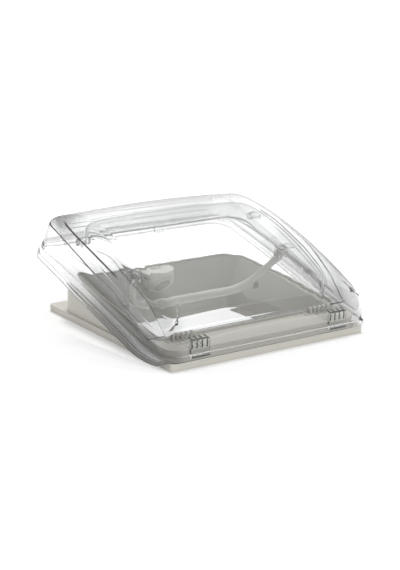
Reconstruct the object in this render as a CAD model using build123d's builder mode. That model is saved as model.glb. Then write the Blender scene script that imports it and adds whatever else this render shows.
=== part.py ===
from build123d import *
import math
import os

# Caravan roof vent: a clear double-glazed dome on a moulded frame for a square roof cut-out.
# The frame stands on the roof plane, z = 0. X is to the right, Y to the rear, where the dome opens.
# The dome is modelled shut and then turned about its hinge pins to the open place shown.
os.makedirs("parts", exist_ok=True)

# Roof and frame, in millimetres
cutout = 400.0
cutout_clearance = 2.0
collar_depth = 47.0
foot_height = 16.0
foot_ledge = 10.0
collar_corner = 14.0
pocket_count = 6
flange_overlap = 40.0
flange_end_overlap = 57.0
flange_height = 15.3
flange_corner = 7.0
wall = 3.0
flange_side_ledge = 6.0
flange_rear_ledge = 40.0
flange_front_ledge = 9.0
wall_rear_corner = 50.0
wall_front_corner = 34.0
seat_gap = 0.3
overrun = 40.0

# Height of the frame's rim along Y
rim_rear_height = 75.0
rim_mid = 20.0
rim_mid_height = 63.0
rim_low_inset = 80.0
rim_low_height = 41.5
shelf_front_height = 36.0

# Funnel-shaped liner inside the frame
liner_wall = 2.8
liner_foot_inset = 9.0
liner_waist_level = 4.0
liner_waist_inset = 7.0
liner_mouth_level = 80.0
liner_mouth_inset = 5.5
liner_rear_inset = 8.0
liner_front_inset = 81.0
liner_foot_corner = 12.0
liner_mouth_corner = 44.0

# Rubber seal on the rim
seal_height = 4.0
seal_width = 6.0
seal_inset = 1.2
seal_front_inset = 64.8
seal_clearance = 0.6

# Hinge and opening of the dome
hinge_inset = 58.0
hinge_z = 48.5
open_angle = 15.0
pin_diameter = 5.0
pin_fit = 0.06
knuckle_radius = 5.5
hinge_side_inset = 62.0
fin_count = 4
fin_pitch = 12.0
fin_thickness = 4.0
fin_clearance = 0.8
hinge_base = 2.0
hinge_base_width = 80.0
hinge_base_back = 6.0
hinge_base_toe = 10.0
hinge_pin_overhang = 2.0
hinge_screw_lead = 2.0
hinge_screw_spacing = 66.0
hinge_pad = 0.5
fin_foot_offset = (58.0, 43.0)
fin_ankle_offset = (-2.2, 53.8)
fin_sole_offset = (-6.3, 38.3)
fin_toe_offset = (-14.0, 38.0)
fin_crown_offset = (-14.0, 72.0)
fin_back_offset = (13.0, 72.0)
web_back_offset = (2.0, 72.0)
fin_root_offset = (63.5, 48.5)
web_width = 44.0

# Outer pane of the dome, shut
dome_wall = 3.0
lip_height = 2.5
lip_bend_inset = 108.0
lip_side_offset = (8.0, 20.5)
lip_corner_offset = (-8.0, 34.5)
lip_front_height = 36.5
dome_overhang = 26.0
dome_rear_overhang = 91.5
dome_front_overhang = 22.4
dome_draft = 11.7
dome_rear_corner = 50.0
dome_front_corner = 40.0
crest_rear_offset = (-57.0, 149.0)
crest_top = (45.0, 157.5)
crest_front_offset = (23.5, 123.0)
slope_end_offset = (-57.0, 8.0)
tail_end_offset = (105.0, 61.0)
crown_radius = 2840.0
slope_round = 40.0
dome_shoulder = 36.0
bead_depth = 4.0
bead_height = 12.0

# Inner pane
pane_crest_rear_offset = (-57.0, 133.0)
pane_crest_top = (45.0, 140.0)
pane_crest_front_offset = (98.0, 99.0)
pane_slope_offset = (33.0, 45.0)
pane_tail_offset = (18.0, 108.0)
pane_level = 30.0
pane_side_inset = 9.0
pane_rear_inset = 20.0
pane_front_inset = 71.0
pane_draft = 6.0
pane_corner = 56.0
pane_shoulder = 14.0
top_share = 0.4
ledge_thickness = 3.0
ledge_front_inset = 65.0

# Operating bow
bow_diameter = 16.0
bow_inset = 38.0
bow_length = 118.0
bow_bend = 70.0
bow_splay = 45.0
bow_slope = 50.0
bow_start = 18.0
pivot_y = -15.0
pivot_z = 89.0
eye_radius = 9.0
eye_width = 12.0
neck_length = 20.0
neck_height = 14.0
bow_pin_diameter = 6.0
bow_pin_overhang = 0.8
cheek_thickness = 4.0
cheek_clearance = 0.6
cheek_half_depth = 10.0
cheek_drop = 9.0
bridge_bottom = 10.5
bridge_height = 4.0
peg_diameter = 8.0
peg_root = 57.0
peg_inset = 17.0
peg_rise = 8.0
buffer_diameter = 13.0
buffer_length = 12.0
buffer_cap = 4.0

# Latch on the rear wall
housing_top = 75.0
hood_radius = 31.0
hood_root_radius = 43.0
hood_length = 32.0
hood_ring_radius = 28.5
hood_ring_height = 2.5
button_inset = 51.0
button_z = 46.0
button_lean = 41.0
button_diameter = 50.0
button_height = 10.0
button_proud = 4.5
button_travel = 4.0
button_gap = 0.5
button_room = 11.0
stem_diameter = 8.0
stem_length = 16.5
stem_gap = 0.3
stem_room = 28.0
spring_inner = 12.0
spring_outer = 26.0
spring_height = 1.2
bolt_width = 20.0
bolt_height = 3.0
bolt_level = 70.5
bolt_front_inset = 47.0
bolt_nose_inset = 27.4
bolt_gap = 0.4
lug_inset = 41.0
lug_length = 6.0
lug_drop = 3.3
keeper_width = 24.0
keeper_thickness = 3.0
keeper_inset = 23.8
keeper_foot_inset = 13.0
keeper_bottom = 64.0
keeper_lip = 2.2
keeper_lip_height = 4.0
pocket_front_inset = 29.0
pocket_rear_inset = 18.0
pocket_bottom = 62.0
pocket_gap = 1.5
latch_screw_x = 34.0
latch_screw_z = 64.0
latch_screw_inset = 18.0
latch_screw_length = 14.0

# Screws, holes and the spacer studs between the panes
screw_diameter = 4.0
screw_gap = 0.1
screw_head = 8.0
screw_head_height = 2.2
hinge_screw_length = 9.0
liner_screw_spacing = 240.0
liner_screw_z = -20.0
liner_screw_length = 5.0
frame_hole = 3.2
frame_hole_depth = 14.0
frame_hole_spacing = 240.0
stud_diameter = 17.0
stud_bore = 6.0
stud_outer_inset = 30.0
stud_inner_inset = 17.0
stud_rear_inset = 73.0
stud_z = 100.0

# Values that follow from the sizes above
collar_width = cutout - 2 * cutout_clearance
foot_opening = cutout - 2 * foot_ledge
flange_width = cutout + 2 * flange_overlap
flange_length = cutout + 2 * flange_end_overlap
wall_width = flange_width - 2 * flange_side_ledge
wall_rear = flange_length / 2 - flange_rear_ledge
wall_front = flange_front_ledge - flange_length / 2
rim_low = wall_front + rim_low_inset
liner_foot_width = cutout - 2 * liner_foot_inset
liner_waist_width = cutout - 2 * liner_waist_inset
liner_mouth_width = wall_width - 2 * liner_mouth_inset
liner_mouth_rear = wall_rear - liner_rear_inset
liner_mouth_front = wall_front + liner_front_inset
seal_front = wall_front + seal_front_inset
ledge_front = wall_front + ledge_front_inset
hinge_y = wall_front + hinge_inset
hinge_offset = wall_width / 2 - hinge_side_inset
hinge_base_rear = hinge_y + hinge_base_back
hinge_base_front = hinge_y - hinge_base_toe
hinge_screw_y = hinge_y - hinge_screw_lead
dome_width = wall_width + 2 * dome_overhang
dome_rear = wall_rear + dome_rear_overhang
dome_front = wall_front - dome_front_overhang
lip_bend = wall_front + lip_bend_inset
pane_width = wall_width - 2 * pane_side_inset
pane_rear = wall_rear - pane_rear_inset
pane_front = wall_front + pane_front_inset
bow_half_width = pane_width / 2 - bow_inset
bow_foot = bow_half_width - bow_splay
peg_start = bow_half_width - peg_root
peg_reach = bow_half_width - peg_inset
stud_reach = dome_width / 2 - stud_outer_inset
stud_inner = pane_width / 2 - stud_inner_inset
stud_y = wall_rear - stud_rear_inset
button_y = wall_rear - button_inset
bolt_front = wall_rear - bolt_front_inset
bolt_nose = wall_rear - bolt_nose_inset
lug_front = wall_rear - lug_inset
keeper_y = wall_rear - keeper_inset
keeper_foot_rear = wall_rear - keeper_foot_inset
pocket_front = wall_rear - pocket_front_inset
pocket_rear = wall_rear - pocket_rear_inset
latch_screw_seat = wall_rear - latch_screw_inset
liner_foot_level = foot_height - collar_depth
hinge_axis = Location((0, hinge_y, hinge_z))
dome_opening = hinge_axis * Location((0, 0, 0), (open_angle, 0, 0)) * hinge_axis.inverse()

# The dome's top is crowned: its side view turns about an axis far below the roof
crown_turn = math.degrees(math.asin(dome_width / crown_radius))
crown_centre = Location((0, 0, -crown_radius))
crown_axis = Axis((0, 0, -crown_radius), (0, 1, 0))
crown_start = Plane(
    crown_centre * Location((0, 0, 0), (0, -crown_turn, 0)) * crown_centre.inverse() * Plane.YZ.location
)


def from_front(offset):
    """Point of a side view given as its way behind the front wall and its height."""
    return (wall_front + offset[0], offset[1])


def from_rear(offset):
    """Point of a side view given as its way behind the rear wall and its height."""
    return (wall_rear + offset[0], offset[1])


fin_foot = from_front(fin_foot_offset)
fin_ankle = from_front(fin_ankle_offset)
fin_sole = from_front(fin_sole_offset)
fin_toe = from_front(fin_toe_offset)
fin_crown = from_front(fin_crown_offset)
fin_back = from_front(fin_back_offset)
web_back = from_front(web_back_offset)
fin_root = from_front(fin_root_offset)
lip_side_end = from_front(lip_side_offset)
lip_corner = from_front(lip_corner_offset)
crest_rear = from_rear(crest_rear_offset)
crest_front = from_front(crest_front_offset)
slope_end = from_front(slope_end_offset)
tail_end = from_rear(tail_end_offset)
pane_crest_rear = from_rear(pane_crest_rear_offset)
pane_crest_front = from_front(pane_crest_front_offset)
pane_slope_end = from_front(pane_slope_offset)
pane_tail_end = from_rear(pane_tail_offset)


def rounded_plan(width, front, rear, front_corner, rear_corner):
    """Plan view of a rectangle with rounded corners."""
    with BuildSketch() as plan:
        with BuildLine():
            FilletPolyline(
                (-width / 2, front),
                (width / 2, front),
                (width / 2, rear),
                (-width / 2, rear),
                radius=[front_corner, front_corner, rear_corner, rear_corner],
                close=True,
            )
        make_face()
    return plan.sketch


def rounded_square(width, corner):
    """Plan view of a square with rounded corners, centred on the cut-out."""
    return rounded_plan(width, -width / 2, width / 2, corner, corner)


def shelf_level(y):
    """Height of the shelf in front of the rim's low point."""
    fall_share = (rim_low - y) / (rim_low - wall_front)
    return rim_low_height - fall_share * (rim_low_height - shelf_front_height)


def rim_rear_level(y):
    """Height of the rim behind its middle, where it rises in a straight line."""
    rise_share = (y - rim_mid) / (wall_rear - rim_mid)
    return rim_mid_height + rise_share * (rim_rear_height - rim_mid_height)


def rim_edge(lift, rear, front):
    """Draw the rim's side view, raised by lift, from rear to front in the open line."""
    straight = Line((rear, rim_rear_level(rear) + lift), (rim_mid, rim_mid_height + lift))
    TangentArc((rim_mid, rim_mid_height + lift), (rim_low, rim_low_height + lift), tangent=straight % 1)
    Line((rim_low, rim_low_height + lift), (front, shelf_level(front) + lift))


def rim_side(lift, level):
    """Side view of everything between the rim raised by lift and a level."""
    rear = wall_rear + overrun
    front = wall_front - overrun
    with BuildSketch() as view:
        with BuildLine():
            rim_edge(lift, rear, front)
            Polyline(
                (front, shelf_level(front) + lift),
                (front, level),
                (rear, level),
                (rear, rim_rear_level(rear) + lift),
            )
        make_face()
    return view.sketch


def rim_band(low, high, rear, front):
    """Side view of a strip that follows the rim from its rear to its front end."""
    with BuildSketch() as view:
        with BuildLine():
            rim_edge(low, rear, front)
            rim_edge(high, rear, front)
            Line((rear, rim_rear_level(rear) + low), (rear, rim_rear_level(rear) + high))
            Line((front, shelf_level(front) + low), (front, shelf_level(front) + high))
        make_face()
    return view.sketch


def funnel(grow):
    """Solid that fills the liner's inside, grown by grow."""
    mouth_corner = liner_mouth_corner + grow
    with BuildPart() as cone:
        with BuildSketch(Plane.XY.offset(liner_foot_level)):
            add(rounded_square(liner_foot_width + 2 * grow, liner_foot_corner + grow))
        with BuildSketch(Plane.XY.offset(liner_waist_level)):
            add(rounded_square(liner_waist_width + 2 * grow, liner_foot_corner + grow))
        with BuildSketch(Plane.XY.offset(liner_mouth_level)):
            add(
                rounded_plan(
                    liner_mouth_width + 2 * grow,
                    liner_mouth_front - grow,
                    liner_mouth_rear + grow,
                    mouth_corner,
                    mouth_corner,
                )
            )
        loft(ruled=True)
    return cone.part


def crown_outline(rear, top, front, slope, tail, inset):
    """Side view of a pane through its crest, drawn in by inset, down to well below the lip."""
    bottom = -2 * overrun
    with BuildSketch() as view:
        with BuildLine():
            crest = ThreePointArc(rear, top, front)
            TangentArc(rear, tail, tangent=(crest % 0) * -1)
            Polyline(front, slope, (slope[0], bottom), (tail[0], bottom), tail)
        make_face()
        fillet(view.vertices().sort_by_distance(front)[0], slope_round)
        if inset:
            offset(amount=-inset, kind=Kind.INTERSECTION, mode=Mode.REPLACE)
    return view.sketch


def crown_edges(form):
    """The edges all round the top of a dome form."""
    tops = form.faces().filter_by(lambda face: face.normal_at(face.center()).Z > top_share)
    edges = [edge for face in tops for edge in face.edges()]
    return [edge for edge in edges if sum(edge.is_same(other) for other in edges) == 1]


def crowned_form(plan, level, draft, outline, shoulder):
    """Solid with drafted sides on a plan, cut to a crowned side view and rounded round its top."""
    with BuildPart() as form:
        with BuildSketch(Plane.XY.offset(level)):
            add(plan)
        extrude(amount=crest_top[1] + overrun - level, taper=draft)
        with BuildSketch(crown_start):
            add(outline)
        revolve(axis=crown_axis, revolution_arc=2 * crown_turn, mode=Mode.INTERSECT)
        fillet(crown_edges(form.part), shoulder)
    return form.part


def dome_plan(level, grow):
    """Plan of the outer pane at a level, grown by grow."""
    spread = (lip_height - level) * math.tan(math.radians(dome_draft)) + grow
    return rounded_plan(
        dome_width + 2 * spread,
        dome_front - spread,
        dome_rear + spread,
        dome_front_corner + spread,
        dome_rear_corner + spread,
    )


def dome_form(inset):
    """Outer shape of the outer pane, drawn in by inset."""
    side_inset = inset / math.cos(math.radians(dome_draft))
    outline = crown_outline(crest_rear, crest_top, crest_front, slope_end, tail_end, inset)
    return crowned_form(dome_plan(-overrun, -side_inset), -overrun, dome_draft, outline, dome_shoulder - inset)


def pane_form(inset):
    """Outer shape of the inner pane's cup, drawn in by inset."""
    side_inset = inset / math.cos(math.radians(pane_draft))
    corner = pane_corner - side_inset
    plan = rounded_plan(
        pane_width - 2 * side_inset, pane_front + side_inset, pane_rear - side_inset, corner, corner
    )
    outline = crown_outline(
        pane_crest_rear, pane_crest_top, pane_crest_front, pane_slope_end, pane_tail_end, inset
    )
    return crowned_form(plan, pane_level, pane_draft, outline, pane_shoulder - inset)


def lip_side(lift):
    """Side view of everything under the dome's lip line raised by lift."""
    front = dome_front - overrun
    rear = dome_rear + overrun
    bottom = -2 * overrun
    with BuildSketch() as view:
        with BuildLine():
            Line((rear, lip_height + lift), (lip_bend, lip_height + lift))
            TangentArc((lip_bend, lip_height + lift), (lip_side_end[0], lip_side_end[1] + lift), tangent=(-1, 0))
            Polyline(
                (lip_side_end[0], lip_side_end[1] + lift),
                (lip_corner[0], lip_corner[1] + lift),
                (dome_front, lip_front_height + lift),
                (front, lip_front_height + lift),
                (front, bottom),
                (rear, bottom),
                (rear, lip_height + lift),
            )
        make_face()
    return view.sketch


def seal_plan(inset):
    """Outline of the rim seal, drawn in by inset."""
    return rounded_plan(
        wall_width - 2 * (seal_inset + inset),
        seal_front + inset,
        wall_rear - seal_inset - inset,
        wall_front_corner - inset,
        wall_rear_corner - seal_inset - inset,
    )


def side_block(points, centre, width):
    """Block with a side view given by points, as wide as width about a place along X."""
    with BuildPart() as block:
        with BuildSketch(Plane.YZ.offset(centre)):
            with BuildLine():
                Polyline(*points, close=True)
            make_face()
        extrude(amount=width / 2, both=True)
    return block.part


def cross_rod(diameter, centre, y, z, length):
    """Round rod along X."""
    with BuildPart() as rod:
        with BuildSketch(Plane.YZ.offset(centre)):
            with Locations((y, z)):
                Circle(diameter / 2)
        extrude(amount=length / 2, both=True)
    return rod.part


def screw_form(seat, length):
    """Pan-head screw with its head on a seat plane and its shank along the plane's normal."""
    with BuildPart() as screw:
        with BuildSketch(seat):
            Circle(screw_head / 2)
        extrude(amount=-screw_head_height)
        fillet(screw.edges().group_by(Axis(seat.origin, seat.z_dir))[0], screw_head_height / 2)
        with BuildSketch(seat):
            Circle(screw_diameter / 2)
        extrude(amount=length)
    return screw.part


def screw_hole(seat, length):
    """Clearance hole for a screw on a seat plane."""
    with BuildPart() as hole:
        with BuildSketch(seat):
            Circle(screw_diameter / 2 + screw_gap)
        extrude(amount=length)
    return hole.part


def hinge_screw_seat(x):
    """Seat plane of a hinge screw, facing down."""
    return Plane(origin=(x, hinge_screw_y, hinge_pad_level), x_dir=(1, 0, 0), z_dir=(0, 0, -1))


def liner_screw_seat(side, y):
    """Seat plane of a liner screw, facing out of the opening."""
    return Plane(origin=(side * liner_screw_x, y, liner_screw_z), x_dir=(0, 1, 0), z_dir=(side, 0, 0))


def latch_screw_seat_plane(side):
    """Seat plane of a latch screw, facing the rear wall."""
    return Plane(
        origin=(side * latch_screw_x, latch_screw_seat, latch_screw_z), x_dir=(1, 0, 0), z_dir=(0, 1, 0)
    )


def hinge_bracket_form(centre):
    """Hinge bracket on the shelf: a base plate with five knuckles and two screw pads."""
    with BuildPart() as form:
        rear_level = shelf_level(hinge_base_rear)
        front_level = shelf_level(hinge_base_front)
        add(
            side_block(
                [
                    (hinge_base_rear, rear_level),
                    (hinge_base_front, front_level),
                    (hinge_base_front, front_level + hinge_base),
                    (hinge_base_rear, rear_level + hinge_base),
                ],
                centre,
                hinge_base_width,
            )
        )
        for x in (centre - hinge_screw_spacing / 2, centre + hinge_screw_spacing / 2):
            with BuildSketch(hinge_screw_seat(x)):
                Circle(screw_head / 2 + hinge_pad)
            extrude(amount=hinge_base)
        for step in range(fin_count + 1):
            place = centre + (step - fin_count / 2) * fin_pitch
            add(cross_rod(2 * knuckle_radius, place, hinge_y, hinge_z, knuckle_width))
            add(
                side_block(
                    [
                        (hinge_y + knuckle_radius, hinge_z),
                        (hinge_y - knuckle_radius, hinge_z),
                        (hinge_y - knuckle_radius, shelf_level(hinge_y - knuckle_radius)),
                        (hinge_y + knuckle_radius, shelf_level(hinge_y + knuckle_radius)),
                    ],
                    place,
                    knuckle_width,
                )
            )
        add(cross_rod(pin_diameter + 2 * pin_fit, centre, hinge_y, hinge_z, hinge_base_width), mode=Mode.SUBTRACT)
        for x in (centre - hinge_screw_spacing / 2, centre + hinge_screw_spacing / 2):
            add(screw_hole(hinge_screw_seat(x), hinge_screw_length), mode=Mode.SUBTRACT)
    return form.part


def dome_hinge_form(centre):
    """Hinge half on the dome: hooked fins between the knuckles, joined by a web along the outer pane."""
    with BuildPart() as form:
        for step in range(fin_count):
            place = centre + (step - (fin_count - 1) / 2) * fin_pitch
            add(cross_rod(2 * knuckle_radius, place, hinge_y, hinge_z, fin_thickness))
            add(
                side_block(
                    [fin_foot, fin_ankle, fin_sole, fin_toe, fin_crown, fin_back, fin_root], place, fin_thickness
                )
            )
        add(side_block([fin_ankle, fin_sole, fin_toe, fin_crown, web_back], centre, web_width))
        add(dome_room, mode=Mode.INTERSECT)
        add(cross_rod(pin_diameter + 2 * pin_fit, centre, hinge_y, hinge_z, web_width), mode=Mode.SUBTRACT)
    return form.part


def stud_form(side):
    """Spacer stud from the inside of the inner pane to the outer pane."""
    centre = side * (stud_inner + dome_width) / 2
    length = dome_width - stud_inner
    with BuildPart() as head:
        add(cross_rod(stud_diameter, centre, stud_y, stud_z, length))
        add(pane_room, mode=Mode.INTERSECT)
    with BuildPart() as stud:
        add(cross_rod(stud_diameter, centre, stud_y, stud_z, length))
        add(dome_room, mode=Mode.INTERSECT)
        add(pane_space, mode=Mode.SUBTRACT)
        add(cross_rod(stud_bore, side * (stud_inner + stud_reach) / 2, stud_y, stud_z, stud_reach - stud_inner))
        add(head.part)
    return stud.part


def bow_clip_form(side):
    """Clip on the inner pane's side wall that carries one end of the bow."""
    slot_width = eye_width + 2 * cheek_clearance
    bridge_top = pivot_z + bridge_bottom + bridge_height
    with BuildPart() as form:
        add(
            side_block(
                [
                    (pivot_y - cheek_half_depth, pivot_z - cheek_drop),
                    (pivot_y + cheek_half_depth, pivot_z - cheek_drop),
                    (pivot_y + cheek_half_depth, bridge_top),
                    (pivot_y - cheek_half_depth, bridge_top),
                ],
                side * bow_half_width,
                slot_width + 2 * cheek_thickness,
            )
        )
        add(
            side_block(
                [
                    (pivot_y - cheek_half_depth, pivot_z - cheek_drop),
                    (pivot_y + cheek_half_depth, pivot_z - cheek_drop),
                    (pivot_y + cheek_half_depth, pivot_z + bridge_bottom),
                    (pivot_y - cheek_half_depth, pivot_z + bridge_bottom),
                ],
                side * bow_half_width,
                slot_width,
            ),
            mode=Mode.SUBTRACT,
        )
        add(
            side_block(
                [
                    (pivot_y - cheek_half_depth, pivot_z + bridge_bottom),
                    (pivot_y + cheek_half_depth, pivot_z + bridge_bottom),
                    (pivot_y + cheek_half_depth, bridge_top),
                    (pivot_y - cheek_half_depth, bridge_top),
                ],
                side * (bow_half_width + stud_reach) / 2,
                stud_reach - bow_half_width,
            )
        )
        add(pane_room, mode=Mode.INTERSECT)
        add(
            cross_rod(bow_pin_diameter + 2 * pin_fit, side * bow_half_width, pivot_y, pivot_z, bow_bend),
            mode=Mode.SUBTRACT,
        )
    return form.part


# The bow's own plane when the dome is open: X to the right and Y down along its arms
bow_pivot = Vector(*tuple((dome_opening * Location((0, pivot_y, pivot_z))).position))
lean = math.radians(bow_slope)
bow_plane = Plane(origin=bow_pivot, x_dir=(1, 0, 0), z_dir=(0, math.sin(lean), math.cos(lean)))


def bow_rod(diameter, side, start, end, along):
    """Round rod along X in the bow's plane, from start to end on one side."""
    with BuildPart() as rod:
        plane = Plane(bow_plane.origin, x_dir=bow_plane.y_dir, z_dir=(side, 0, 0))
        with BuildSketch(plane.offset(start)):
            with Locations((along, 0)):
                Circle(diameter / 2)
        extrude(amount=end - start)
    return rod.part


def buffer_form(side):
    """Rubber cap on the end of one of the bow's pegs."""
    along = bow_length - peg_rise
    start = peg_reach + buffer_cap - buffer_length
    with BuildPart() as form:
        add(bow_rod(buffer_diameter, side, start, peg_reach + buffer_cap, along))
        add(bow_rod(peg_diameter + 2 * pin_fit, side, start, peg_reach + pin_fit, along), mode=Mode.SUBTRACT)
    return form.part


# Places that follow from the sizes above
hinge_pad_level = shelf_level(hinge_screw_y) + hinge_base + hinge_pad
knuckle_width = fin_pitch - fin_thickness - 2 * fin_clearance
hinge_pin_length = fin_count * fin_pitch + knuckle_width + 2 * hinge_pin_overhang
bow_pin_length = eye_width + 2 * (cheek_clearance + cheek_thickness + bow_pin_overhang)
ledge_lift = seal_height + seal_clearance
funnel_share = (liner_screw_z - liner_foot_level) / (liner_waist_level - liner_foot_level)
liner_screw_x = (liner_foot_width + funnel_share * (liner_waist_width - liner_foot_width)) / 2 - seat_gap
button_turn = math.radians(button_lean)
button_plane = Plane(
    origin=(0, button_y, button_z), x_dir=(1, 0, 0), z_dir=(0, math.cos(button_turn), math.sin(button_turn))
)

# Solids that only shape other pieces
liner_room = funnel(-seat_gap)
liner_inside = funnel(0)
liner_outside = funnel(liner_wall)
liner_hole = funnel(liner_wall + seat_gap)
dome_outside = dome_form(0)
dome_inside = dome_form(dome_wall)
dome_room = dome_form(dome_wall + seat_gap)
pane_outside = pane_form(0)
pane_inside = pane_form(dome_wall)
pane_room = pane_form(dome_wall + seat_gap)
pane_space = pane_form(-seat_gap)

with BuildPart() as frame_hollow:
    with BuildSketch(Plane.XY.offset(flange_height)):
        add(
            rounded_plan(
                wall_width - 2 * wall,
                wall_front + wall,
                wall_rear - wall,
                wall_front_corner - wall,
                wall_rear_corner - wall,
            )
        )
    extrude(amount=liner_mouth_level)
    with BuildSketch(Plane.YZ):
        add(rim_side(-wall, 0))
    extrude(amount=wall_width, both=True, mode=Mode.INTERSECT)

# Frame: flange on the roof, upstand with its sloping rim, and the collar through the cut-out
with BuildPart() as base_frame:
    with BuildSketch() as flange_plan:
        Rectangle(flange_width, flange_length)
        fillet(flange_plan.vertices(), flange_corner)
    extrude(amount=flange_height)
    with BuildSketch():
        add(rounded_plan(wall_width, wall_front, wall_rear, wall_front_corner, wall_rear_corner))
    extrude(amount=liner_mouth_level)
    with BuildSketch(Plane.YZ):
        add(rim_side(0, liner_mouth_level + overrun))
    extrude(amount=flange_width, both=True, mode=Mode.SUBTRACT)
    with BuildSketch():
        add(rounded_square(collar_width, collar_corner))
    extrude(amount=-collar_depth)
    add(frame_hollow.part, mode=Mode.SUBTRACT)
    add(liner_hole, mode=Mode.SUBTRACT)
    with BuildSketch():
        add(rounded_square(foot_opening, liner_foot_corner))
    extrude(amount=-collar_depth, mode=Mode.SUBTRACT)

    # Weight-saving pockets under the flange, with ribs left between them
    side_band = (flange_width - collar_width) / 2 - 3 * wall
    end_band = (flange_length - collar_width) / 2 - 3 * wall
    pocket_length = collar_width / pocket_count - wall
    with BuildSketch():
        with GridLocations(collar_width + side_band + 4 * wall, collar_width / pocket_count, 2, pocket_count):
            Rectangle(side_band, pocket_length)
        with GridLocations(collar_width / pocket_count, collar_width + end_band + 4 * wall, pocket_count, 2):
            Rectangle(pocket_length, end_band)
    extrude(amount=flange_height - wall, mode=Mode.SUBTRACT)

    # Blind holes for the screws of the trim frame below, and holes for the liner's screws
    hole_line = (foot_opening + collar_width) / 4
    with Locations(Plane.XY.offset(-collar_depth)):
        with Locations(
            (-hole_line, -frame_hole_spacing / 2),
            (-hole_line, frame_hole_spacing / 2),
            (hole_line, -frame_hole_spacing / 2),
            (hole_line, frame_hole_spacing / 2),
        ):
            Cylinder(
                frame_hole / 2,
                frame_hole_depth,
                align=(Align.CENTER, Align.CENTER, Align.MIN),
                mode=Mode.SUBTRACT,
            )
    for side in (-1, 1):
        for step in (-1, 1):
            x = side * hinge_offset + step * hinge_screw_spacing / 2
            add(screw_hole(hinge_screw_seat(x), hinge_screw_length), mode=Mode.SUBTRACT)
            seat = liner_screw_seat(side, step * liner_screw_spacing / 2)
            add(screw_hole(seat, liner_screw_length), mode=Mode.SUBTRACT)
base_frame.part.label = "base_frame"
export_step(base_frame.part, "parts/base_frame.step")

# Liner that funnels down from the rim to the foot of the collar
with BuildPart() as liner:
    add(liner_outside)
    add(liner_inside, mode=Mode.SUBTRACT)
    with BuildSketch(Plane.YZ):
        add(rim_side(0, liner_mouth_level + overrun))
    extrude(amount=flange_width, both=True, mode=Mode.SUBTRACT)
    for side in (-1, 1):
        add(screw_hole(latch_screw_seat_plane(side), latch_screw_length), mode=Mode.SUBTRACT)
        for step in (-1, 1):
            seat = liner_screw_seat(side, step * liner_screw_spacing / 2)
            add(screw_hole(seat, liner_screw_length), mode=Mode.SUBTRACT)
liner.part.label = "liner"
export_step(liner.part, "parts/liner.step")

# Rubber seal that lies on the rim of the frame and the liner
with BuildPart() as rim_seal:
    with BuildSketch(Plane.XY.offset(flange_height)):
        add(seal_plan(0))
    extrude(amount=liner_mouth_level)
    with BuildSketch(Plane.XY.offset(flange_height)):
        add(seal_plan(seal_width))
    extrude(amount=liner_mouth_level, mode=Mode.SUBTRACT)
    with BuildSketch(Plane.YZ):
        add(rim_band(0, seal_height, wall_rear + overrun, wall_front))
    extrude(amount=wall_width, both=True, mode=Mode.INTERSECT)
rim_seal.part.label = "rim_seal"
export_step(rim_seal.part, "parts/rim_seal.step")

# Outer pane with a thick bead round its lip
with BuildPart() as lip_bead:
    with BuildSketch(Plane.XY.offset(-overrun)):
        add(dome_plan(-overrun, bead_depth))
    extrude(amount=3 * overrun, taper=dome_draft)
    with BuildSketch(Plane.YZ):
        add(lip_side(bead_height))
    extrude(amount=dome_width, both=True, mode=Mode.INTERSECT)

with BuildPart() as dome_outer:
    add(dome_outside)
    add(lip_bead.part)
    add(dome_inside, mode=Mode.SUBTRACT)
    with BuildSketch(Plane.YZ):
        add(lip_side(0))
    extrude(amount=dome_width, both=True, mode=Mode.SUBTRACT)
dome_outer.part.move(dome_opening)
dome_outer.part.label = "dome_outer"
export_step(dome_outer.part, "parts/dome_outer.step")

# Inner pane: a cup with a wide ledge that comes down on the seal
with BuildPart() as dome_inner:
    with BuildSketch(Plane.YZ):
        add(rim_band(ledge_lift, ledge_lift + ledge_thickness, dome_rear, ledge_front))
    extrude(amount=dome_width, both=True)
    add(dome_room, mode=Mode.INTERSECT)
    add(pane_outside)
    add(pane_inside, mode=Mode.SUBTRACT)
    with BuildSketch(Plane.YZ):
        add(rim_side(ledge_lift, -collar_depth))
    extrude(amount=dome_width, both=True, mode=Mode.SUBTRACT)
    add(cross_rod(stud_bore + 2 * seat_gap, 0, stud_y, stud_z, dome_width), mode=Mode.SUBTRACT)
dome_inner.part.move(dome_opening)
dome_inner.part.label = "dome_inner"
export_step(dome_inner.part, "parts/dome_inner.step")

# Hinge brackets on the frame's shelf, their pins and their screws
with BuildPart() as hinge_bracket_left:
    add(hinge_bracket_form(-hinge_offset))
hinge_bracket_left.part.label = "hinge_bracket_left"
export_step(hinge_bracket_left.part, "parts/hinge_bracket_left.step")

with BuildPart() as hinge_bracket_right:
    add(hinge_bracket_form(hinge_offset))
hinge_bracket_right.part.label = "hinge_bracket_right"
export_step(hinge_bracket_right.part, "parts/hinge_bracket_right.step")

with BuildPart() as hinge_pin_left:
    add(cross_rod(pin_diameter, -hinge_offset, hinge_y, hinge_z, hinge_pin_length))
hinge_pin_left.part.label = "hinge_pin_left"
export_step(hinge_pin_left.part, "parts/hinge_pin_left.step")

with BuildPart() as hinge_pin_right:
    add(cross_rod(pin_diameter, hinge_offset, hinge_y, hinge_z, hinge_pin_length))
hinge_pin_right.part.label = "hinge_pin_right"
export_step(hinge_pin_right.part, "parts/hinge_pin_right.step")

with BuildPart() as hinge_screw_left_outer:
    add(screw_form(hinge_screw_seat(-hinge_offset - hinge_screw_spacing / 2), hinge_screw_length))
hinge_screw_left_outer.part.label = "hinge_screw_left_outer"
export_step(hinge_screw_left_outer.part, "parts/hinge_screw_left_outer.step")

with BuildPart() as hinge_screw_left_inner:
    add(screw_form(hinge_screw_seat(-hinge_offset + hinge_screw_spacing / 2), hinge_screw_length))
hinge_screw_left_inner.part.label = "hinge_screw_left_inner"
export_step(hinge_screw_left_inner.part, "parts/hinge_screw_left_inner.step")

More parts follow.
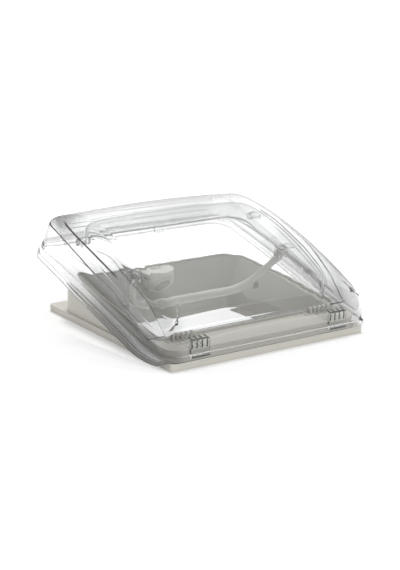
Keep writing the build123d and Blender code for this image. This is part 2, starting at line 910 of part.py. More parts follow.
with BuildPart() as hinge_screw_right_inner:
    add(screw_form(hinge_screw_seat(hinge_offset - hinge_screw_spacing / 2), hinge_screw_length))
hinge_screw_right_inner.part.label = "hinge_screw_right_inner"
export_step(hinge_screw_right_inner.part, "parts/hinge_screw_right_inner.step")

with BuildPart() as hinge_screw_right_outer:
    add(screw_form(hinge_screw_seat(hinge_offset + hinge_screw_spacing / 2), hinge_screw_length))
hinge_screw_right_outer.part.label = "hinge_screw_right_outer"
export_step(hinge_screw_right_outer.part, "parts/hinge_screw_right_outer.step")

# Screws that hold the liner's foot to the collar
with BuildPart() as liner_screw_front_left:
    add(screw_form(liner_screw_seat(-1, -liner_screw_spacing / 2), liner_screw_length))
liner_screw_front_left.part.label = "liner_screw_front_left"
export_step(liner_screw_front_left.part, "parts/liner_screw_front_left.step")

with BuildPart() as liner_screw_rear_left:
    add(screw_form(liner_screw_seat(-1, liner_screw_spacing / 2), liner_screw_length))
liner_screw_rear_left.part.label = "liner_screw_rear_left"
export_step(liner_screw_rear_left.part, "parts/liner_screw_rear_left.step")

with BuildPart() as liner_screw_front_right:
    add(screw_form(liner_screw_seat(1, -liner_screw_spacing / 2), liner_screw_length))
liner_screw_front_right.part.label = "liner_screw_front_right"
export_step(liner_screw_front_right.part, "parts/liner_screw_front_right.step")

with BuildPart() as liner_screw_rear_right:
    add(screw_form(liner_screw_seat(1, liner_screw_spacing / 2), liner_screw_length))
liner_screw_rear_right.part.label = "liner_screw_rear_right"
export_step(liner_screw_rear_right.part, "parts/liner_screw_rear_right.step")

# Clear hinge halves on the dome
with BuildPart() as dome_hinge_left:
    add(dome_hinge_form(-hinge_offset))
dome_hinge_left.part.move(dome_opening)
dome_hinge_left.part.label = "dome_hinge_left"
export_step(dome_hinge_left.part, "parts/dome_hinge_left.step")

with BuildPart() as dome_hinge_right:
    add(dome_hinge_form(hinge_offset))
dome_hinge_right.part.move(dome_opening)
dome_hinge_right.part.label = "dome_hinge_right"
export_step(dome_hinge_right.part, "parts/dome_hinge_right.step")

# Clear studs that hold the two panes together
with BuildPart() as pane_stud_rear_left:
    add(stud_form(-1))
pane_stud_rear_left.part.move(dome_opening)
pane_stud_rear_left.part.label = "pane_stud_rear_left"
export_step(pane_stud_rear_left.part, "parts/pane_stud_rear_left.step")

with BuildPart() as pane_stud_rear_right:
    add(stud_form(1))
pane_stud_rear_right.part.move(dome_opening)
pane_stud_rear_right.part.label = "pane_stud_rear_right"
export_step(pane_stud_rear_right.part, "parts/pane_stud_rear_right.step")

# Clips and pivot pins of the operating bow
with BuildPart() as bow_clip_left:
    add(bow_clip_form(-1))
bow_clip_left.part.move(dome_opening)
bow_clip_left.part.label = "bow_clip_left"
export_step(bow_clip_left.part, "parts/bow_clip_left.step")

with BuildPart() as bow_clip_right:
    add(bow_clip_form(1))
bow_clip_right.part.move(dome_opening)
bow_clip_right.part.label = "bow_clip_right"
export_step(bow_clip_right.part, "parts/bow_clip_right.step")

with BuildPart() as bow_pivot_left:
    add(cross_rod(bow_pin_diameter, -bow_half_width, pivot_y, pivot_z, bow_pin_length))
bow_pivot_left.part.move(dome_opening)
bow_pivot_left.part.label = "bow_pivot_left"
export_step(bow_pivot_left.part, "parts/bow_pivot_left.step")

with BuildPart() as bow_pivot_right:
    add(cross_rod(bow_pin_diameter, bow_half_width, pivot_y, pivot_z, bow_pin_length))
bow_pivot_right.part.move(dome_opening)
bow_pivot_right.part.label = "bow_pivot_right"
export_step(bow_pivot_right.part, "parts/bow_pivot_right.step")

# U-shaped operating bow with an eye on each arm and a peg at each bend
with BuildPart() as bow:
    with BuildLine(bow_plane):
        bow_line = FilletPolyline(
            (-bow_half_width, bow_start),
            (-bow_foot, bow_length),
            (bow_foot, bow_length),
            (bow_half_width, bow_start),
            radius=bow_bend,
        )
    with BuildSketch(Plane(bow_line @ 0, z_dir=bow_line % 0)):
        Circle(bow_diameter / 2)
    sweep()
    for side in (-1, 1):
        eye_start = bow_half_width - eye_width / 2
        add(bow_rod(2 * eye_radius, side, eye_start, eye_start + eye_width, 0))
        with BuildSketch(bow_plane):
            with Locations((side * bow_half_width, neck_length / 2)):
                Rectangle(eye_width, neck_length)
        extrude(amount=neck_height / 2, both=True)
        add(bow_rod(peg_diameter, side, peg_start, peg_reach, bow_length - peg_rise))
        add(
            bow_rod(bow_pin_diameter + 2 * pin_fit, side, eye_start, eye_start + eye_width, 0),
            mode=Mode.SUBTRACT,
        )
bow.part.label = "bow"
export_step(bow.part, "parts/bow.step")

with BuildPart() as bow_buffer_left:
    add(buffer_form(-1))
bow_buffer_left.part.label = "bow_buffer_left"
export_step(bow_buffer_left.part, "parts/bow_buffer_left.step")

with BuildPart() as bow_buffer_right:
    add(buffer_form(1))
bow_buffer_right.part.label = "bow_buffer_right"
export_step(bow_buffer_right.part, "parts/bow_buffer_right.step")

# Latch housing on the liner's rear wall, open at its slanting face for the push button
with BuildPart() as latch_housing:
    with BuildSketch(button_plane):
        Circle(hood_radius)
    with BuildSketch(button_plane.offset(hood_length)):
        Circle(hood_root_radius)
    loft()
    with BuildSketch(button_plane.offset(hood_length)):
        Circle(hood_root_radius)
    extrude(amount=hood_length)
    with BuildSketch(button_plane):
        Circle(hood_ring_radius)
    extrude(amount=-hood_ring_height)
    add(liner_room, mode=Mode.INTERSECT)
    with BuildSketch(Plane.XY.offset(housing_top)):
        with Locations((0, button_y)):
            Rectangle(3 * hood_root_radius, 3 * hood_root_radius)
    extrude(amount=2 * hood_root_radius, mode=Mode.SUBTRACT)
    with BuildSketch(button_plane.offset(-button_proud)):
        Circle(button_diameter / 2 + button_gap)
    extrude(amount=button_proud + button_room, mode=Mode.SUBTRACT)
    with BuildSketch(button_plane):
        Circle(stem_diameter / 2 + stem_gap)
    extrude(amount=stem_room, mode=Mode.SUBTRACT)
    slot_front = bolt_front - button_travel - bolt_gap
    with BuildSketch(Plane.XY.offset(bolt_level - bolt_gap)):
        with Locations(((0, (slot_front + pocket_rear) / 2))):
            Rectangle(bolt_width + 2 * bolt_gap, pocket_rear - slot_front)
    extrude(amount=bolt_height + 2 * bolt_gap, mode=Mode.SUBTRACT)
    lug_room_front = lug_front - button_travel - bolt_gap
    with BuildSketch(Plane.XY.offset(bolt_level - lug_drop - bolt_gap)):
        with Locations((0, (lug_room_front + pocket_rear) / 2)):
            Rectangle(bolt_width + 2 * bolt_gap, pocket_rear - lug_room_front)
    extrude(amount=lug_drop + bolt_gap, mode=Mode.SUBTRACT)
    with BuildSketch(Plane.XY.offset(pocket_bottom)):
        with Locations((0, (pocket_front + pocket_rear) / 2)):
            Rectangle(keeper_width + 2 * pocket_gap, pocket_rear - pocket_front)
    extrude(amount=housing_top, mode=Mode.SUBTRACT)
    for side in (-1, 1):
        seat = latch_screw_seat_plane(side)
        add(screw_hole(seat, latch_screw_length), mode=Mode.SUBTRACT)
        with BuildSketch(seat):
            Circle(screw_head / 2 + button_gap)
        extrude(amount=-hood_root_radius, mode=Mode.SUBTRACT)
latch_housing.part.label = "latch_housing"
export_step(latch_housing.part, "parts/latch_housing.step")

with BuildPart() as push_button:
    with BuildSketch(button_plane.offset(-button_proud)):
        Circle(button_diameter / 2)
    extrude(amount=button_height)
    fillet(push_button.edges().group_by(Axis(button_plane.origin, button_plane.z_dir))[0], button_gap * 2)
    with BuildSketch(button_plane.offset(button_height - button_proud)):
        Circle(stem_diameter / 2)
    extrude(amount=stem_length)
push_button.part.label = "push_button"
export_step(push_button.part, "parts/push_button.step")

with BuildPart() as latch_spring:
    with BuildSketch(button_plane.offset(button_room - spring_height)):
        Circle(spring_outer / 2)
        Circle(spring_inner / 2, mode=Mode.SUBTRACT)
    extrude(amount=spring_height)
latch_spring.part.label = "latch_spring"
export_step(latch_spring.part, "parts/latch_spring.step")

with BuildPart() as latch_bolt:
    with BuildSketch(Plane.XY.offset(bolt_level)):
        with Locations((0, (bolt_front + bolt_nose) / 2)):
            Rectangle(bolt_width, bolt_nose - bolt_front)
    extrude(amount=bolt_height)
    with BuildSketch(Plane.XY.offset(bolt_level)):
        with Locations((0, lug_front + lug_length / 2)):
            Rectangle(bolt_width, lug_length)
    extrude(amount=-lug_drop)
latch_bolt.part.label = "latch_bolt"
export_step(latch_bolt.part, "parts/latch_bolt.step")

with BuildPart() as latch_screw_left:
    add(screw_form(latch_screw_seat_plane(-1), latch_screw_length))
latch_screw_left.part.label = "latch_screw_left"
export_step(latch_screw_left.part, "parts/latch_screw_left.step")

with BuildPart() as latch_screw_right:
    add(screw_form(latch_screw_seat_plane(1), latch_screw_length))
latch_screw_right.part.label = "latch_screw_right"
export_step(latch_screw_right.part, "parts/latch_screw_right.step")

# Clear keeper under the inner pane's rear ledge
with BuildPart() as latch_keeper:
    keeper_back = keeper_y + keeper_thickness
    foot_level = rim_rear_level(keeper_y) + ledge_lift - keeper_thickness
    add(
        side_block(
            [
                (keeper_y - keeper_lip, keeper_bottom),
                (keeper_back, keeper_bottom),
                (keeper_back, foot_level),
                (keeper_foot_rear, foot_level),
                (keeper_foot_rear, housing_top + overrun),
                (keeper_y, housing_top + overrun),
                (keeper_y, keeper_bottom + keeper_lip_height),
                (keeper_y - keeper_lip, keeper_bottom + keeper_lip_height),
            ],
            0,
            keeper_width,
        )
    )
    with BuildSketch(Plane.YZ):
        add(rim_side(ledge_lift - seat_gap, -collar_depth))
    extrude(amount=dome_width, both=True, mode=Mode.INTERSECT)
latch_keeper.part.move(dome_opening)
latch_keeper.part.label = "latch_keeper"
export_step(latch_keeper.part, "parts/latch_keeper.step")
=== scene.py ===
# %% [markdown]
# # A caravan roof vent with a clear double dome
# The vent lies over a square cut-out in a roof. A cream frame carries a dome of two clear
# acrylic panes, hinged at the front and propped open at the rear by a U-shaped bow.
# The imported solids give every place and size. This script dresses them: it makes the two
# panes again as smooth surfaces worked out with numpy, and gives each piece its finish.

import math

import bpy
import numpy as np
from mathutils import Matrix, Vector


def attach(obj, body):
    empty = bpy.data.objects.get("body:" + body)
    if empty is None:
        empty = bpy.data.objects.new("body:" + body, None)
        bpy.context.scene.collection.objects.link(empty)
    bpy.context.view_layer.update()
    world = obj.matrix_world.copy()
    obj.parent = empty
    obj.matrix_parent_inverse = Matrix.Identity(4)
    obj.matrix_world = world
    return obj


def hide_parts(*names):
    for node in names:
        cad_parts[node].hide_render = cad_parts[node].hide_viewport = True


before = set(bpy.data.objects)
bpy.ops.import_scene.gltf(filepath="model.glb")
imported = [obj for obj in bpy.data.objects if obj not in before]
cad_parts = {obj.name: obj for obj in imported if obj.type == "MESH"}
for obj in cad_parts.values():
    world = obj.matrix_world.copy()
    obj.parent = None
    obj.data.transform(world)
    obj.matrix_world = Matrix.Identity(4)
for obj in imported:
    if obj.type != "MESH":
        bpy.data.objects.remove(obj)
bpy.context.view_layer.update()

# %% [markdown]
# ## Sizes
# The panes follow the solids' own sizes, here in metres. They are drawn shut, and one turn
# about the hinge pins puts every point in the open place.

# %% Sizes of the dome and the rim, shut
mm = 0.001
hinge_y, hinge_z = -190 * mm, 48.5 * mm
open_angle = math.radians(15)
wall = 3 * mm
lip_height = 2.5 * mm
outer_plan = dict(
    width=520 * mm,
    front=-270.4 * mm,
    rear=308.5 * mm,
    front_corner=40 * mm,
    rear_corner=50 * mm,
)
outer_draft = math.radians(11.7)
outer_side = dict(
    rear=(160 * mm, 149 * mm),
    top=(45 * mm, 157.5 * mm),
    front=(-224.5 * mm, 123 * mm),
    slope=(-305 * mm, 8 * mm),
    tail=(322 * mm, 61 * mm),
)
outer_shoulder = 36 * mm
inner_plan = dict(
    width=450 * mm,
    front=-177 * mm,
    rear=197 * mm,
    front_corner=56 * mm,
    rear_corner=56 * mm,
)
inner_level = 30 * mm
inner_draft = math.radians(6)
inner_side = dict(
    rear=(160 * mm, 133 * mm),
    top=(45 * mm, 140 * mm),
    front=(-150 * mm, 99 * mm),
    slope=(-215 * mm, 45 * mm),
    tail=(235 * mm, 108 * mm),
)
inner_shoulder = 14 * mm
crown_radius = 2840 * mm
slope_round = 40 * mm


# %% [markdown]
# ## The side view of a pane
# From the side a pane is one long flat arc over the top, a falling arc at the rear and a
# straight slope at the front. The whole side view turns about a far axis under the roof, which
# makes the pane a little higher in its middle than at its sides.

# %% Height of a pane's top at any place
def arc_through(a, b, c):
    """Centre and radius of the circle through three points, from the two bisectors."""
    a, b, c = (np.array(p, float) for p in (a, b, c))
    lhs = 2 * np.array([b - a, c - a])
    rhs = np.array([b @ b - a @ a, c @ c - a @ a])
    centre = np.linalg.solve(lhs, rhs)
    return centre, float(np.linalg.norm(a - centre))


def tangent_arc(start, direction, end):
    """Centre and radius of the circle that leaves start along a direction and meets end."""
    start, direction, end = (np.array(p, float) for p in (start, direction, end))
    normal = np.array([-direction[1], direction[0]]) / np.linalg.norm(direction)
    chord = end - start
    radius = chord @ chord / (2 * (normal @ chord))
    return start + normal * radius, abs(float(radius))


def side_curve(side):
    """Points and inward normals of a pane's side view, from the front slope to the rear tail."""
    centre, radius = arc_through(side["rear"], side["top"], side["front"])
    front, slope = np.array(side["front"]), np.array(side["slope"])
    start = math.atan2(*(np.array(side["rear"]) - centre)[::-1])
    end = math.atan2(*(front - centre)[::-1])
    heading = np.array([math.sin(end), -math.cos(end)])
    fall = (slope - front) / np.linalg.norm(slope - front)
    turn = math.acos(float(np.clip(-heading @ fall, -1, 1)))
    turn = min(turn, math.pi - turn)
    reach = slope_round * math.tan(turn / 2)
    a = front + heading * reach
    b = front + fall * reach
    t = np.linspace(0, 1, 25)[:, None]
    middle_weight = 2 * math.cos(turn / 2) * t * (1 - t)
    corner = ((1 - t) ** 2 * b + middle_weight * front + t**2 * a) / ((1 - t) ** 2 + middle_weight + t**2)
    line = slope + (b - slope) * np.linspace(0, 1, 30)[:-1, None]
    first = math.atan2(*(a - centre)[::-1])
    angles = np.linspace(first, start, 80)[1:]
    crest = centre + radius * np.column_stack([np.cos(angles), np.sin(angles)])
    leaving = np.array([math.sin(start), -math.cos(start)])
    tail_centre, tail_radius = tangent_arc(side["rear"], leaving, side["tail"])
    one = math.atan2(*(np.array(side["rear"]) - tail_centre)[::-1])
    two = math.atan2(*(np.array(side["tail"]) - tail_centre)[::-1])
    angles = np.linspace(one, two, 60)[1:]
    tail = tail_centre + tail_radius * np.column_stack([np.cos(angles), np.sin(angles)])
    points = np.vstack([line, corner, crest, tail])
    along = np.gradient(points, axis=0)
    along /= np.linalg.norm(along, axis=1)[:, None]
    return points, np.column_stack([along[:, 1], -along[:, 0]])


def top_height(side, inset):
    """Function of x and y that gives a pane's top, drawn in by inset and crowned across."""
    points, inward = side_curve(side)
    moved = points + inward * inset
    order = np.argsort(moved[:, 0])
    ys, zs = moved[order, 0], moved[order, 1]
    end_slope = (zs[-1] - zs[-2]) / (ys[-1] - ys[-2])
    start_slope = (zs[1] - zs[0]) / (ys[1] - ys[0])

    def height(x, y):
        level = np.interp(y, ys, zs)
        level = np.where(y > ys[-1], zs[-1] + (y - ys[-1]) * end_slope, level)
        level = np.where(y < ys[0], zs[0] + (y - ys[0]) * start_slope, level)
        return np.sqrt(np.maximum((crown_radius + level) ** 2 - x**2, 0)) - crown_radius

    return height


outer_top = top_height(outer_side, 0)
print("outer pane, height over the middle", round(float(outer_top(0.0, 0.045)), 4))


# %% [markdown]
# ## Walking round a pane
# Both panes are rounded rectangles seen from above. One walk round that outline gives each
# column of the surface its place and the way out; a section then climbs the wall, turns over
# the shoulder and runs to the middle of the top.

# %% Outline, shoulder and top as one grid
wall_count, shoulder_count, crown_count = 14, 22, 44
calm_rows = 3
settle_steps = 60


def outline_walk(plan, straight=64, corner=22):
    """Places and outward normals round a rounded rectangle, counter-clockwise from its front."""
    half = plan["width"] / 2
    f, r, fc, rc = plan["front"], plan["rear"], plan["front_corner"], plan["rear_corner"]
    centres = [
        (half - fc, f + fc, fc, -90),
        (half - rc, r - rc, rc, 0),
        (-half + rc, r - rc, rc, 90),
        (-half + fc, f + fc, fc, 180),
    ]
    places, normals = [], []
    for i, (cx, cy, radius, start) in enumerate(centres):
        angle = np.radians(start + np.linspace(0, 90, corner))
        normal = np.column_stack([np.cos(angle), np.sin(angle)])
        arc = np.array([cx, cy]) + radius * normal
        places.append(arc)
        normals.append(normal)
        nx, ny, nr, ns = centres[(i + 1) % 4]
        nxt = np.array([nx, ny]) + nr * np.array([math.cos(math.radians(ns)), math.sin(math.radians(ns))])
        t = np.linspace(0, 1, straight + 2)[1:-1, None]
        places.append(arc[-1] + (nxt - arc[-1]) * t)
        normals.append(np.repeat(normal[-1:], straight, axis=0))
    return np.vstack(places), np.vstack(normals)


def round_mean(values, turn, reach=9):
    """Mean of each value and its neighbours on a closed walk that gains turn each time round."""
    padded = np.concatenate([values[-reach:] - turn, values, values[:reach] + turn])
    return np.convolve(padded, np.ones(2 * reach + 1) / (2 * reach + 1), mode="valid")


def pane_section(plan, level, draft, height, inset, shoulder, foot, middle):
    """Points of one side of a pane as rows round the outline, from its foot almost to its middle.

    In the upright plane along each inward normal the wall leans in by the draft until it meets
    the top; there a circle of the shoulder's radius joins the two, and the rows after it shrink
    towards the middle at the top's own height."""
    place, normal = outline_walk(plan)
    lean = math.tan(draft)
    offset = inset / math.cos(draft)

    def at(z):
        return place - normal * ((z - level) * lean + offset + np.zeros(len(place)))[:, None]

    z = np.full(len(place), 100 * mm)
    for _ in range(settle_steps):
        p = at(z)
        z = 0.5 * z + 0.5 * height(p[:, 0], p[:, 1])
    corner = at(z)
    step = 0.1 * mm
    ahead = corner - normal * step
    slope = (height(ahead[:, 0], ahead[:, 1]) - z) / step
    up = np.array([lean, 1.0]) / math.hypot(lean, 1)
    over = np.column_stack([np.ones_like(slope), slope]) / np.hypot(1, slope)[:, None]
    turn = np.arccos(np.clip(over @ up, -1, 1))
    reach = round_mean(shoulder * np.tan(turn / 2), 0, 6)
    start = np.column_stack([-up[0] * reach, z - up[1] * reach])
    end = np.column_stack([over[:, 0] * reach, z + over[:, 1] * reach])
    knee = np.column_stack([np.zeros_like(z), z])
    low = foot(at)
    grid = []
    for t in np.linspace(0, 1, wall_count)[:-1]:
        level_z = low + (start[:, 1] - low) * t
        grid.append(np.column_stack([at(level_z), level_z]))
    weight = np.cos(turn / 2)[:, None]
    for t in np.linspace(0, 1, shoulder_count):
        bottom = (1 - t) ** 2 + 2 * weight * t * (1 - t) + t**2
        q = ((1 - t) ** 2 * start + 2 * weight * t * (1 - t) * knee + t**2 * end) / bottom
        grid.append(np.column_stack([corner - normal * q[:, :1], q[:, 1]]))
    rim = grid[-1]
    error = rim[:, 2] - height(rim[:, 0], rim[:, 1])
    away = rim[:, :2] - middle
    reach_out, bearing = np.hypot(away[:, 0], away[:, 1]), np.unwrap(np.arctan2(away[:, 1], away[:, 0]))
    calm_out, calm_bearing = round_mean(reach_out, 0), round_mean(bearing, 2 * math.pi)
    for k, t in enumerate(np.linspace(0, 1, crown_count + 1)[1:-1]):
        share = min(1, (k + 1) / calm_rows)
        out = (reach_out + (calm_out - reach_out) * share) * (1 - t)
        turned = bearing + (calm_bearing - bearing) * share
        p = middle + np.column_stack([np.cos(turned), np.sin(turned)]) * out[:, None]
        z_top = height(p[:, 0], p[:, 1]) + error * (1 - t) ** 6
        grid.append(np.column_stack([p, z_top]))
    top = np.array([middle[0], middle[1], float(height(middle[0], middle[1]))])
    return grid, top


def grid_mesh(name, rows, poles):
    """Closed mesh of rows that each run once round, with a pole and a fan at either end."""
    count, total = len(rows[0]), len(rows)
    col = np.arange(count)
    nxt = (col + 1) % count
    quads = []
    for r in range(total - 1):
        a, b = r * count, (r + 1) * count
        quads.append(np.column_stack([a + col, a + nxt, b + nxt, b + col]))
    faces = np.vstack(quads).tolist()
    base, tip = (total - 1) * count, total * count
    faces += np.column_stack([nxt, col, np.full(count, tip)]).tolist()
    faces += np.column_stack([base + col, base + nxt, np.full(count, tip + 1)]).tolist()
    points = np.vstack([*rows, *poles])
    mesh = bpy.data.meshes.new(name)
    mesh.from_pydata(points, [], faces)
    mesh.update()
    return mesh


def opened(points):
    """Turn shut places about the hinge pins to the open place."""
    y, z = points[..., 1] - hinge_y, points[..., 2] - hinge_z
    c, s = math.cos(open_angle), math.sin(open_angle)
    return np.stack([points[..., 0], hinge_y + c * y - s * z, hinge_z + s * y + c * z], axis=-1)


def top_normals(rows, sets):
    """Normals of the rows on a pane's top, from the slopes of its height; zero elsewhere.

    A zero normal leaves the mesh's own one in place."""
    flat = np.zeros((sum(len(row) for row in rows) + 2, 3))
    step = 0.2 * mm
    for first, last, height, flip in sets:
        start = sum(len(row) for row in rows[:first])
        p = np.vstack(rows[first:last])
        dx = (height(p[:, 0] + step, p[:, 1]) - height(p[:, 0] - step, p[:, 1])) / (2 * step)
        dy = (height(p[:, 0], p[:, 1] + step) - height(p[:, 0], p[:, 1] - step)) / (2 * step)
        n = np.column_stack([-dx, -dy, np.ones(len(p))]) * flip
        n /= np.linalg.norm(n, axis=1)[:, None]
        c, d = math.cos(open_angle), math.sin(open_angle)
        turned = np.column_stack([n[:, 0], c * n[:, 1] - d * n[:, 2], d * n[:, 1] + c * n[:, 2]])
        flat[start : start + len(p)] = turned
    return flat


def show(mesh, body, replaced, normals):
    """Put a finished mesh in the scene, smooth but for its sharp edges, riding on a body."""
    thing = bpy.data.objects.new(mesh.name, mesh)
    bpy.context.scene.collection.objects.link(thing)
    mesh.shade_smooth()
    mesh.set_sharp_from_angle(angle=math.radians(40))
    mesh.normals_split_custom_set_from_vertices(normals.tolist())
    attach(thing, body)
    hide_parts(*replaced)
    print(mesh.name, "faces", len(mesh.polygons))
    return thing


# %% [markdown]
# ## The outer pane
# The outer pane is blown acrylic about 3 mm thick with a thicker bead along its lip, which is
# cut to a line that runs level along the sides and climbs at the front. One closed section,
# down the inside, under the lip, over the bead and up the outside, gives the wall its true
# thickness, which clear material needs to bend light as the real pane does.

# %% Lip line and the outer pane
lip_bend = -140 * mm
lip_side_end = (-240 * mm, 20.5 * mm)
lip_corner = (-256 * mm, 34.5 * mm)
lip_front = 36.5 * mm
bead_depth, bead_height, bead_round = 4 * mm, 12 * mm, 1.6 * mm
lip_centre, lip_radius = tangent_arc((lip_bend, lip_height), (-1.0, 0.0), lip_side_end)


def lip_level(y):
    """Height of the lip at y: level, then an upward arc, then two straight runs at the front."""
    arc = lip_centre[1] - np.sqrt(np.maximum(lip_radius**2 - (y - lip_centre[0]) ** 2, 0))
    xs = [-0.4, -270.4 * mm, lip_corner[0], lip_side_end[0]]
    zs = [lip_front, lip_front, lip_corner[1], lip_side_end[1]]
    return np.where(y > lip_bend, lip_height, np.where(y > lip_side_end[0], arc, np.interp(y, xs, zs)))


def outer_foot(at):
    z = np.full(len(at(0.0)), 0.01)
    for _ in range(8):
        z = lip_level(at(z)[:, 1])
    return z


outer_middle = np.array([0.0, 10 * mm])
outside, outside_top = pane_section(
    outer_plan, lip_height, outer_draft, outer_top, 0.0, outer_shoulder, outer_foot, outer_middle
)
inside, inside_top = pane_section(
    outer_plan,
    lip_height,
    outer_draft,
    top_height(outer_side, wall),
    wall,
    outer_shoulder - wall,
    outer_foot,
    outer_middle,
)
lip_place, lip_normal = outline_walk(outer_plan)


def bead_row(out, up):
    """One row of the bead, out from the wall and up from the lip line."""
    base = outside[0]
    z = base[:, 2] + up
    lean = up * math.tan(outer_draft)
    return np.column_stack([base[:, :2] + lip_normal * (out - lean), z])


bead = [
    bead_row(out, up)
    for out, up in [
        (bead_depth - bead_round, 0),
        (bead_depth - 0.3 * bead_round, 0.3 * bead_round),
        (bead_depth, bead_round),
        (bead_depth, bead_height - bead_round),
        (bead_depth - 0.3 * bead_round, bead_height - 0.3 * bead_round),
        (bead_depth - bead_round, bead_height),
        (0.4 * mm, bead_height + 0.2 * mm),
    ]
]
bead_top = outside[0][:, 2] + bead_height + 0.5 * mm
wall_rows = [row for row in outside[1:] if float((row[:, 2] - bead_top).min()) > 0]
outer_shut = inside[::-1] + bead + wall_rows
outer_poles = (opened(inside_top), opened(outside_top))
outer_mesh = grid_mesh("outer_pane", [opened(row) for row in outer_shut], outer_poles)
crown_rows = 36
outer_normals = top_normals(
    outer_shut,
    [
        (0, crown_rows, top_height(outer_side, wall), -1),
        (len(outer_shut) - crown_rows, len(outer_shut), outer_top, 1),
    ],
)

# %% [markdown]
# ## The inner pane
# The inner pane is a shallower cup with a wide ledge that follows the rim of the frame, a few
# millimetres above its seal. The ledge reaches out to the outer pane.

# %% Rim line and the inner pane
rim_rear = (217 * mm, 75 * mm)
rim_mid = (20 * mm, 63 * mm)
rim_low = (-168 * mm, 41.5 * mm)
shelf_front = (-248 * mm, 36 * mm)
ledge_lift = 4.6 * mm
ledge_front = -183 * mm
rim_slope = (rim_rear[1] - rim_mid[1]) / (rim_rear[0] - rim_mid[0])
rim_centre, rim_radius = tangent_arc(rim_mid, (-1.0, -rim_slope), rim_low)
rim_sign = 1.0 if rim_centre[1] < rim_mid[1] else -1.0


def rim_level(y):
    """Height of the frame's rim at y: straight at the rear, an arc down, straight over the shelf."""
    rear = rim_mid[1] + (y - rim_mid[0]) * rim_slope
    arc = rim_centre[1] + rim_sign * np.sqrt(np.maximum(rim_radius**2 - (y - rim_centre[0]) ** 2, 0))
    shelf = rim_low[1] + (y - rim_low[0]) * (rim_low[1] - shelf_front[1]) / (rim_low[0] - shelf_front[0])
    return np.where(y > rim_mid[0], rear, np.where(y > rim_low[0], arc, shelf))


def cup_foot(lift):
    def foot(at):
        z = np.full(len(at(0.0)), 0.06)
        for _ in range(12):
            z = rim_level(at(z)[:, 1]) + lift
        return z

    return foot


inner_middle = np.array([0.0, 10 * mm])
cup_out, cup_out_top = pane_section(
    inner_plan,
    inner_level,
    inner_draft,
    top_height(inner_side, 0.0),
    0.0,
    inner_shoulder,
    cup_foot(ledge_lift + wall),
    inner_middle,
)
cup_in, cup_in_top = pane_section(
    inner_plan,
    inner_level,
    inner_draft,
    top_height(inner_side, wall),
    wall,
    inner_shoulder - wall,
    cup_foot(ledge_lift),
    inner_middle,
)
ledge_spread = (lip_height - 80 * mm) * math.tan(outer_draft) - 3.4 * mm
ledge_plan = dict(
    width=outer_plan["width"] + 2 * ledge_spread,
    front=ledge_front,
    rear=outer_plan["rear"] + ledge_spread,
    front_corner=3 * mm,
    rear_corner=outer_plan["rear_corner"] + ledge_spread,
)
ledge_edge, _ = outline_walk(ledge_plan)


def ledge_row(share, lift):
    """One row of the ledge, a share of the way from the cup's wall to the ledge's edge."""
    base = cup_out[0][:, :2] if lift > ledge_lift else cup_in[0][:, :2]
    p = base + (ledge_edge - base) * share
    spread = np.clip((80 * mm - rim_level(p[:, 1]) - lift) * math.tan(outer_draft), 0, 1) * share
    p = p + np.column_stack([np.sign(p[:, 0]) * spread, np.zeros(len(p))])
    return np.column_stack([p, rim_level(p[:, 1]) + lift])


under = [ledge_row(s, ledge_lift) for s in np.linspace(0, 1, 14)[1:]]
over = [ledge_row(s, ledge_lift + wall) for s in np.linspace(1, 0, 14)[:-1]]
inner_shut = cup_in[::-1] + under + over + cup_out
inner_poles = (opened(cup_in_top), opened(cup_out_top))
inner_mesh = grid_mesh("inner_pane", [opened(row) for row in inner_shut], inner_poles)
inner_normals = top_normals(
    inner_shut,
    [
        (0, crown_rows, top_height(inner_side, wall), -1),
        (len(inner_shut) - crown_rows, len(inner_shut), top_height(inner_side, 0.0), 1),
    ],
)

outer_pane = show(outer_mesh, "dome", ["dome_outer"], outer_normals)
inner_pane = show(inner_mesh, "dome", ["dome_inner"], inner_normals)

# %% [markdown]
# ## Painted shade and painted dark lines in the panes
# The grey in the walls of the clear panes is painted shade of the parts behind them and of their
# rounded corners, and the thin dark lines are painted where edges show bent through the acrylic.
# Both are worked out once for every point of the shut panes and kept on the mesh: the painted
# shade as a share of light that passes, each painted line as a signed distance and a gate that
# says where the line is drawn.

# %% Painted shade and painted lines as mesh attributes
def keep(mesh, name, kind, values):
    """Store one number or vector per vertex under a name."""
    layer = mesh.attributes.new(name, kind, "POINT")
    layer.data.foreach_set("value" if kind == "FLOAT" else "vector", np.asarray(values, np.float32).ravel())


def line_height(points):
    """Smooth curve through places given as pairs, as a function of the first of each pair."""
    table = np.array(sorted(points), float) * mm
    fine = np.linspace(table[0, 0], table[-1, 0], 200)
    slopes = np.gradient(table[:, 1], table[:, 0])
    spot = np.clip(np.searchsorted(table[:, 0], fine) - 1, 0, len(table) - 2)
    span = table[spot + 1, 0] - table[spot, 0]
    t = (fine - table[spot, 0]) / span
    a, b = table[spot, 1], table[spot + 1, 1]
    curve = (
        (2 * t**3 - 3 * t**2 + 1) * a
        + (t**3 - 2 * t**2 + t) * span * slopes[spot]
        + (3 * t**2 - 2 * t**3) * b
        + (t**3 - t**2) * span * slopes[spot + 1]
    )
    return lambda at: np.interp(at, fine, curve)


def fade(value, low, high):
    """Smooth step from nought at low to one at high."""
    t = np.clip((value - low) / (high - low), 0, 1)
    return t * t * (3 - 2 * t)


def painted_wall_line(points, along, gate_ends, side):
    """Signed distance in height and gate of a painted dark line on one wall of the outer pane."""
    x, y, z = shut[:, 0], shut[:, 1], shut[:, 2]
    place = y if along == "y" else x
    distance = z - line_height(points)(place)
    low, high = gate_ends
    gate = fade(place, (low - 8) * mm, (low + 8) * mm) * (1 - fade(place, (high - 8) * mm, (high + 8) * mm))
    if side == "rear":
        gate = gate * fade(y, 240 * mm, 262 * mm)
    else:
        gate = gate * (np.sign(x) == side) * fade(np.abs(x), 205 * mm, 212 * mm)
    return distance, gate * outward


